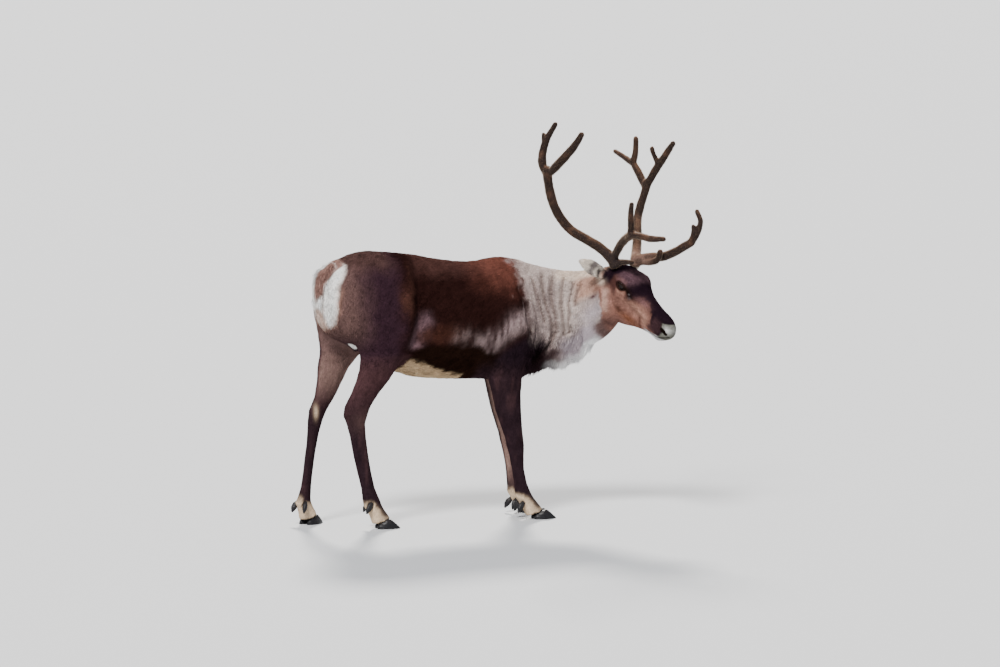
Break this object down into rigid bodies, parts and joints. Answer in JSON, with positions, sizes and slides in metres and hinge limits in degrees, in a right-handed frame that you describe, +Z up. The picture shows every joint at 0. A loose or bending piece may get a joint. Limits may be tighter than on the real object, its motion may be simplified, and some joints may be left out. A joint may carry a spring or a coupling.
{
  "type": "standing reindeer",
  "caption": "Life-size still model of a standing reindeer bull in velvet antlers, looking back over its right side.",
  "frame": {"origin": "on the floor, at the middle of the whole animal's box", "axes": "+X the way the body faces, +Y the animal's left, +Z up"},
  "size_m": [1.5798, 0.8776, 1.6535],
  "materials": {
    "coat_body": "short dense hair",
    "coat_neck": "long pale hair",
    "coat_face": "short sleek hair",
    "coat_legs": "short sleek hair",
    "coat_ear": "short soft hair",
    "velvet": "velvet skin",
    "eye": "wet and glossy",
    "horn": "satin horn"
  },
  "bodies": {
    "root": {"antler_beam_left": "velvet", "antler_beam_right": "velvet", "antler_bez_left": "velvet", "antler_bez_right": "velvet", "antler_brow_left": "velvet", "antler_brow_right": "velvet", "antler_fore_left": "velvet", "antler_fore_right": "velvet", "antler_rear_left": "velvet", "antler_rear_right": "velvet", "claw_left_fore_left": "horn", "claw_left_fore_right": "horn", "claw_left_hind_left": "horn", "claw_left_hind_right": "horn", "claw_right_fore_left": "horn", "claw_right_fore_right": "horn", "claw_right_hind_left": "horn", "claw_right_hind_right": "horn", "dewclaw_left_fore_left": "horn", "dewclaw_left_fore_right": "horn", "dewclaw_left_hind_left": "horn", "dewclaw_left_hind_right": "horn", "dewclaw_right_fore_left": "horn", "dewclaw_right_fore_right": "horn", "dewclaw_right_hind_left": "horn", "dewclaw_right_hind_right": "horn", "ear_left": "coat_ear", "ear_right": "coat_ear", "eye_left": "eye", "eye_right": "eye", "head": "coat_face", "leg_fore_left": "coat_legs", "leg_fore_right": "coat_legs", "leg_hind_left": "coat_legs", "leg_hind_right": "coat_legs", "neck": "coat_neck", "tail": "coat_body", "torso": "coat_body"}
  },
  "joints": []
}
